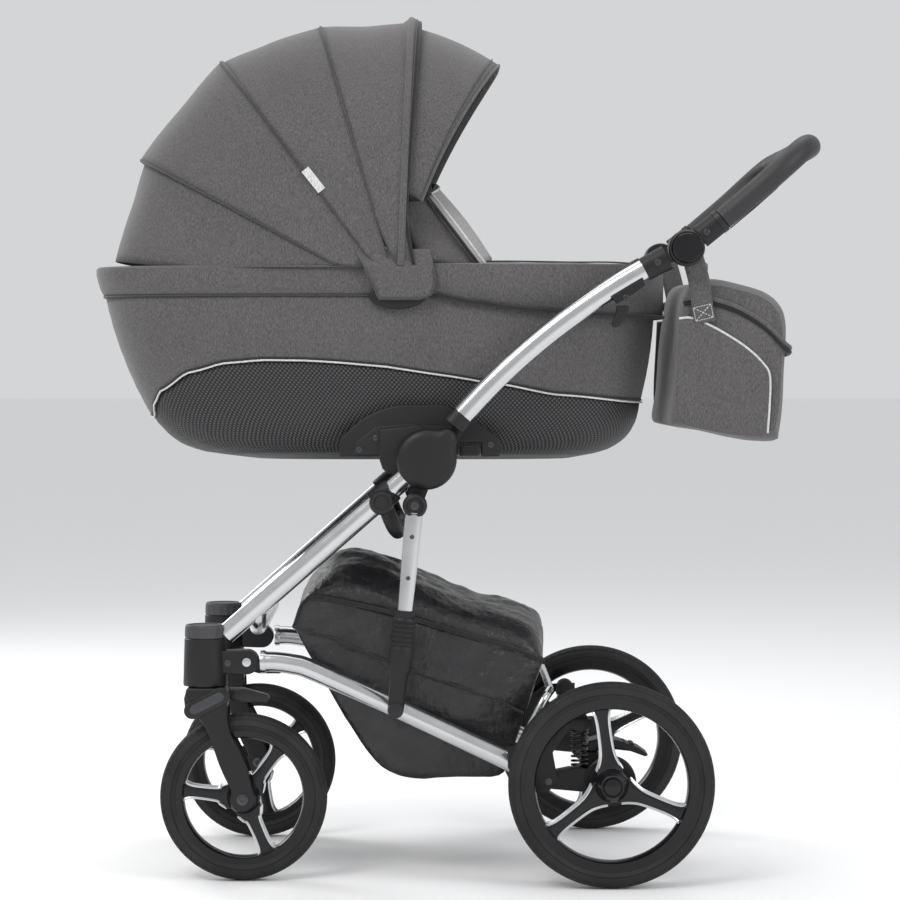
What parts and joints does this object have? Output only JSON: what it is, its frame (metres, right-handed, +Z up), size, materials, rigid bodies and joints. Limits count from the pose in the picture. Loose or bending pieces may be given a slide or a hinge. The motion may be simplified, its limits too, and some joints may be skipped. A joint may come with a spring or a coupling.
{
  "type": "baby stroller",
  "caption": "Pram with a lift-off carrycot, fan-folding hood, folding chassis, swivelling front wheels, sprung rear axle, shopping basket and changing bag.",
  "frame": {"origin": "on the floor, at the middle of the pram's footprint box", "axes": "+X from the head end towards the handle, +Y to the pusher's right, +Z up"},
  "size_m": [1.063, 0.6014, 1.2688],
  "materials": {
    "chrome": "polished",
    "black_plastic": "satin moulded",
    "gloss_black": "gloss",
    "tyre": "matte rubber",
    "grey_fabric": "melange weave",
    "black_fabric": "coated nylon",
    "mesh_fabric": "knitted mesh",
    "grip": "smooth",
    "mattress": "cotton",
    "steel": "satin",
    "piping": "reflective"
  },
  "bodies": {
    "chassis": {"rail_left": "chrome", "rail_right": "chrome", "rear_bracket_left": "black_plastic", "rear_bracket_right": "black_plastic", "spring_left": "steel", "spring_right": "steel", "basket_hoop": "chrome", "basket": "black_fabric", "basket_cover": "black_fabric"},
    "rear_axle": {"rear_axle": "black_plastic"},
    "brake": {"brake_pedal": "black_plastic"},
    "legs": {"leg_left": "chrome", "leg_right": "chrome", "caster_housing_left": "black_plastic", "caster_housing_right": "black_plastic", "front_cross_tube": "chrome", "cross_brace": "black_plastic", "fold_cover_left": "black_plastic", "fold_cover_right": "black_plastic", "cradle_left": "black_plastic", "cradle_right": "black_plastic"},
    "handle": {"handle_tube_left": "chrome", "handle_tube_right": "chrome", "angle_joint_left": "black_plastic", "angle_joint_right": "black_plastic"},
    "handlebar": {"handlebar": "grip"},
    "struts": {"strut_left": "black_plastic", "strut_right": "black_plastic"},
    "cot": {"cot_body": "grey_fabric", "mattress": "mattress", "apron": "grey_fabric", "cot_bracket_left": "black_plastic", "cot_bracket_right": "black_plastic", "hood_rear": "grey_fabric"},
    "flap": {"windscreen_flap": "grey_fabric"},
    "hood_1": {"hood_panel_1": "grey_fabric"},
    "hood_2": {"hood_panel_2": "grey_fabric"},
    "hood_3": {"hood_panel_3": "grey_fabric"},
    "visor": {"visor": "grey_fabric"},
    "bag": {"bag": "grey_fabric"},
    "fork_left": {"fork_left": "black_plastic"},
    "swivel_lock_left": {"swivel_lock_left": "black_plastic"},
    "front_wheel_left": {"front_wheel_left_tyre": "tyre", "front_wheel_left_rim": "gloss_black"},
    "rear_wheel_left": {"rear_wheel_left_tyre": "tyre", "rear_wheel_left_rim": "gloss_black"},
    "hub_button_left": {"hub_button_left": "black_plastic"},
    "angle_button_left": {"angle_button_left": "gloss_black"},
    "fold_trigger_left": {"fold_trigger_left": "black_plastic"},
    "cot_latch_left": {"cot_latch_left": "black_plastic"},
    "fork_right": {"fork_right": "black_plastic"},
    "swivel_lock_right": {"swivel_lock_right": "black_plastic"},
    "front_wheel_right": {"front_wheel_right_tyre": "tyre", "front_wheel_right_rim": "gloss_black"},
    "rear_wheel_right": {"rear_wheel_right_tyre": "tyre", "rear_wheel_right_rim": "gloss_black"},
    "hub_button_right": {"hub_button_right": "black_plastic"},
    "angle_button_right": {"angle_button_right": "gloss_black"},
    "fold_trigger_right": {"fold_trigger_right": "black_plastic"},
    "cot_latch_right": {"cot_latch_right": "black_plastic"}
  },
  "joints": [
    {"name": "frame_fold", "type": "hinge", "parent": "legs", "child": "handle", "pos_m": [-0.045, 0, 0.61], "axis": [0, -1, 0], "range_deg": [0, 140], "deforming": ["basket_cover"]},
    {"name": "leg_tilt", "type": "hinge", "parent": "chassis", "child": "legs", "pos_m": [-0.304, 0, 0.317], "axis": [0, 1, 0], "range_deg": [0, 30.94]},
    {"name": "strut_swing", "type": "hinge", "parent": "chassis", "child": "struts", "pos_m": [-0.089, 0, 0.254], "axis": [0, 1, 0], "range_deg": [0, 44.83]},
    {"name": "handle_angle", "type": "hinge", "parent": "handle", "child": "handlebar", "pos_m": [0.3265, 0, 0.912], "axis": [0, -1, 0], "range_deg": [-55, 40]},
    {"name": "rear_suspension", "type": "hinge", "parent": "chassis", "child": "rear_axle", "pos_m": [0.1287, 0, 0.147], "axis": [0, -1, 0], "range_deg": [0, 9], "stiffness_Nm_per_rad": 60, "springref_deg": -14.32, "deforming": ["spring_left", "spring_right"]},
    {"name": "brake_press", "type": "hinge", "parent": "rear_axle", "child": "brake", "pos_m": [0.19, -0.184, 0.193], "axis": [0, 1, 0], "range_deg": [0, 8.5], "stiffness_Nm_per_rad": 0.6, "springref_deg": -8.59},
    {"name": "cot_lift", "type": "slide", "parent": "legs", "child": "cot", "axis": [0, 0, 1], "range_m": [0, 0.25]},
    {"name": "windscreen_fold", "type": "hinge", "parent": "cot", "child": "flap", "pos_m": [0.03, 0, 0.9165], "axis": [0, 1, 0], "range_deg": [0, 100]},
    {"name": "hood_fold", "type": "hinge", "parent": "cot", "child": "hood_1", "pos_m": [-0.0835, 0, 0.839], "axis": [0, -1, 0], "range_deg": [0, 18]},
    {"name": "hood_fold_2", "type": "hinge", "parent": "hood_1", "child": "hood_2", "pos_m": [-0.0835, 0, 0.839], "axis": [0, -1, 0], "range_deg": [0, 15.3]},
    {"name": "hood_fold_3", "type": "hinge", "parent": "hood_2", "child": "hood_3", "pos_m": [-0.0835, 0, 0.839], "axis": [0, -1, 0], "range_deg": [0, 14]},
    {"name": "visor_tuck", "type": "hinge", "parent": "hood_3", "child": "visor", "pos_m": [-0.0835, 0, 0.839], "axis": [0, -1, 0], "range_deg": [0, 14]},
    {"name": "bag_unhook", "type": "slide", "parent": "legs", "child": "bag", "axis": [1, 0, 0], "range_m": [0, 0.2]},
    {"name": "front_swivel_left", "type": "hinge", "parent": "legs", "child": "fork_left", "pos_m": [-0.3645, -0.198, 0.2815], "axis": [0, 0, 1], "continuous": true},
    {"name": "front_roll_left", "type": "hinge", "parent": "fork_left", "child": "front_wheel_left", "pos_m": [-0.3095, -0.198, 0.121], "axis": [0, 1, 0], "continuous": true},
    {"name": "swivel_lock_left_flip", "type": "hinge", "parent": "fork_left", "child": "swivel_lock_left", "pos_m": [-0.3265, -0.198, 0.27], "axis": [0, -1, 0], "range_deg": [0, 14]},
    {"name": "rear_roll_left", "type": "hinge", "parent": "rear_axle", "child": "rear_wheel_left", "pos_m": [0.2185, -0.27, 0.1475], "axis": [0, 1, 0], "continuous": true},
    {"name": "hub_button_left_press", "type": "slide", "parent": "rear_wheel_left", "child": "hub_button_left", "axis": [0, 1, 0], "range_m": [0, 0.0028], "stiffness_N_per_m": 400, "springref_m": -0.002},
    {"name": "angle_button_left_press", "type": "slide", "parent": "handle", "child": "angle_button_left", "axis": [0, 1, 0], "range_m": [0, 0.0028], "stiffness_N_per_m": 400, "springref_m": -0.002},
    {"name": "fold_trigger_left_pull", "type": "hinge", "parent": "handle", "child": "fold_trigger_left", "pos_m": [0.23571, -0.232, 0.83379], "axis": [0, -1, 0], "range_deg": [0, 22], "stiffness_Nm_per_rad": 0.15, "springref_deg": -17.19},
    {"name": "cot_latch_left_press", "type": "slide", "parent": "cot", "child": "cot_latch_left", "axis": [0, 1, 0], "range_m": [0, 0.003], "stiffness_N_per_m": 300, "springref_m": -0.003},
    {"name": "front_swivel_right", "type": "hinge", "parent": "legs", "child": "fork_right", "pos_m": [-0.3645, 0.198, 0.2815], "axis": [0, 0, 1], "continuous": true},
    {"name": "front_roll_right", "type": "hinge", "parent": "fork_right", "child": "front_wheel_right", "pos_m": [-0.3095, 0.198, 0.121], "axis": [0, 1, 0], "continuous": true},
    {"name": "swivel_lock_right_flip", "type": "hinge", "parent": "fork_right", "child": "swivel_lock_right", "pos_m": [-0.3265, 0.198, 0.27], "axis": [0, -1, 0], "range_deg": [0, 14]},
    {"name": "rear_roll_right", "type": "hinge", "parent": "rear_axle", "child": "rear_wheel_right", "pos_m": [0.2185, 0.27, 0.1475], "axis": [0, 1, 0], "continuous": true},
    {"name": "hub_button_right_press", "type": "slide", "parent": "rear_wheel_right", "child": "hub_button_right", "axis": [0, -1, 0], "range_m": [0, 0.0028], "stiffness_N_per_m": 400, "springref_m": -0.002},
    {"name": "angle_button_right_press", "type": "slide", "parent": "handle", "child": "angle_button_right", "axis": [0, -1, 0], "range_m": [0, 0.0028], "stiffness_N_per_m": 400, "springref_m": -0.002},
    {"name": "fold_trigger_right_pull", "type": "hinge", "parent": "handle", "child": "fold_trigger_right", "pos_m": [0.23571, 0.232, 0.83379], "axis": [0, -1, 0], "range_deg": [0, 22], "stiffness_Nm_per_rad": 0.15, "springref_deg": -17.19},
    {"name": "cot_latch_right_press", "type": "slide", "parent": "cot", "child": "cot_latch_right", "axis": [0, -1, 0], "range_m": [0, 0.003], "stiffness_N_per_m": 300, "springref_m": -0.003}
  ],
  "couplings": [
    {"joint": "leg_tilt", "follows": "frame_fold", "ratio": 0.22062},
    {"joint": "strut_swing", "follows": "frame_fold", "ratio": 0.31986},
    {"joint": "hood_fold_2", "follows": "hood_fold", "ratio": 0.84},
    {"joint": "hood_fold_3", "follows": "hood_fold", "ratio": 0.77}
  ]
}
